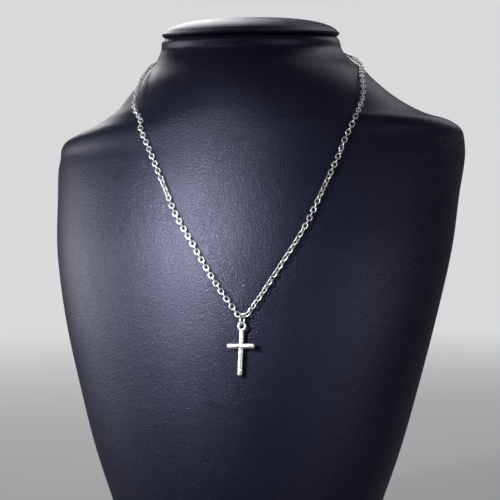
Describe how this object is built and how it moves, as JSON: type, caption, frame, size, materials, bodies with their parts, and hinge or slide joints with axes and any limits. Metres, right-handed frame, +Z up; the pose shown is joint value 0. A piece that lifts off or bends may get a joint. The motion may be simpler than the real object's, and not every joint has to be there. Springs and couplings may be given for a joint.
{
  "type": "cross necklace on a neck bust",
  "caption": "Slim cross with a hanging eye on a fine cable chain, displayed round a padded leatherette neck bust with a domed cap.",
  "frame": {"origin": "middle of the bust's flat base, on the surface that it stands on", "axes": "+X to the viewer's right, +Y towards the back of the bust, +Z up"},
  "size_m": [0.203, 0.1262, 0.2546],
  "materials": {
    "leatherette": "dark navy leatherette with a fine pebbled grain and a soft satin sheen",
    "chain_silver": "bright polished silver-coloured wire",
    "cross_silver": "bright silver colour, softly hammered by hand"
  },
  "bodies": {
    "bust": {"bust_body": "leatherette", "bust_cap": "leatherette", "chain_left": "chain_silver", "chain_right": "chain_silver", "centre_link": "chain_silver", "clasp": "chain_silver"},
    "ring": {"jump_ring": "chain_silver"},
    "pendant": {"cross": "cross_silver"}
  },
  "joints": [
    {"name": "ring_swing", "type": "hinge", "parent": "bust", "child": "ring", "pos_m": [0.01608, -0.0608, 0.1137], "axis": [-1, 0, 0], "range_deg": [0, 80]},
    {"name": "cross_swing", "type": "hinge", "parent": "ring", "child": "pendant", "pos_m": [0.01586, -0.0608, 0.11053], "axis": [0, 1, 0], "range_deg": [-35, 35]}
  ]
}
